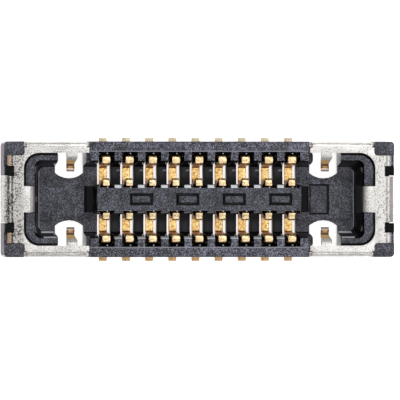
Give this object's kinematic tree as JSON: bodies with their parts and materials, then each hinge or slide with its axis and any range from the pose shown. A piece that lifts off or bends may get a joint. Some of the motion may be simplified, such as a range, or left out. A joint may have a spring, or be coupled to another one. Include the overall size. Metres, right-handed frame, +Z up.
{
  "type": "board to board connector receptacle",
  "caption": "Fine-pitch board to board socket: black moulded housing with an island, two rows of gold spring contacts and a folded metal fitting at each end.",
  "frame": {"origin": "on the board's surface, under the middle of the housing", "axes": "+X along the contact rows, +Y across them, +Z up from the board to the mating side"},
  "size_m": [0.0058, 0.0018, 0.0006],
  "materials": {
    "housing_plastic": "moulded black liquid crystal polymer with a fine satin grain",
    "contact_metal": "gold plating over a copper alloy strip",
    "fitting_metal": "matte pale plating over a copper alloy sheet"
  },
  "bodies": {
    "root": {"housing": "housing_plastic", "contact_front_1": "contact_metal", "contact_front_2": "contact_metal", "contact_front_3": "contact_metal", "contact_front_4": "contact_metal", "contact_front_5": "contact_metal", "contact_front_6": "contact_metal", "contact_front_7": "contact_metal", "contact_front_8": "contact_metal", "contact_front_9": "contact_metal", "contact_rear_1": "contact_metal", "contact_rear_2": "contact_metal", "contact_rear_3": "contact_metal", "contact_rear_4": "contact_metal", "contact_rear_5": "contact_metal", "contact_rear_6": "contact_metal", "contact_rear_7": "contact_metal", "contact_rear_8": "contact_metal", "contact_rear_9": "contact_metal", "hold_down_left": "fitting_metal", "hold_down_right": "fitting_metal"}
  },
  "joints": []
}
